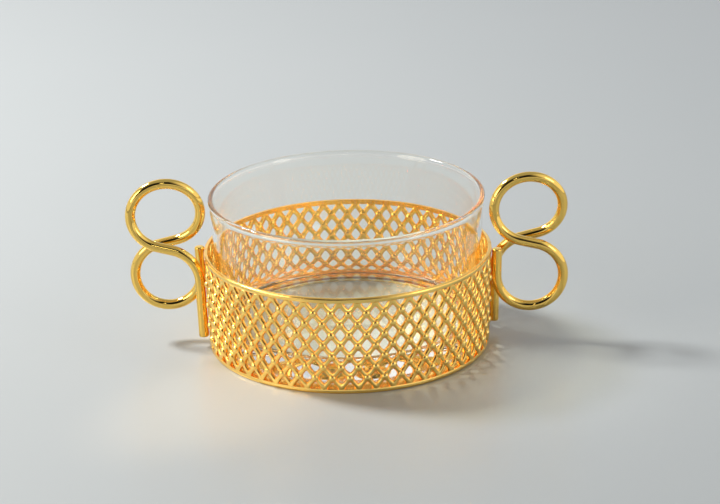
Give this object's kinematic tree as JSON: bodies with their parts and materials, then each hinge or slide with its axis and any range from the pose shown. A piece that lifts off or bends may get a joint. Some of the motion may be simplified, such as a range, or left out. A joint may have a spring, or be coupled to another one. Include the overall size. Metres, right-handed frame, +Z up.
{
  "type": "tea glass holder with glass",
  "caption": "Low pierced gilt holder with a figure-eight wire handle at each side, around a clear tea glass that lifts out.",
  "frame": {"origin": "on the table, at the middle of the round hoop", "axes": "+Z up along the axis of the cup, +X along the line of the two handles towards the right one, -Y towards the viewer"},
  "size_m": [0.1458, 0.0948, 0.0574],
  "materials": {
    "clear_glass": "fire-polished clear",
    "gilt_band": "bright gilt, polished",
    "gilt_wire": "bright gilt, polished"
  },
  "bodies": {
    "holder": {"front_band": "gilt_band", "back_band": "gilt_band", "left_handle": "gilt_wire", "right_handle": "gilt_wire", "seat_ring": "gilt_band"},
    "glass": {"glass_cup": "clear_glass"}
  },
  "joints": [
    {"name": "glass_lift", "type": "slide", "parent": "holder", "child": "glass", "axis": [0, 0, 1], "range_m": [0, 0.06]}
  ]
}
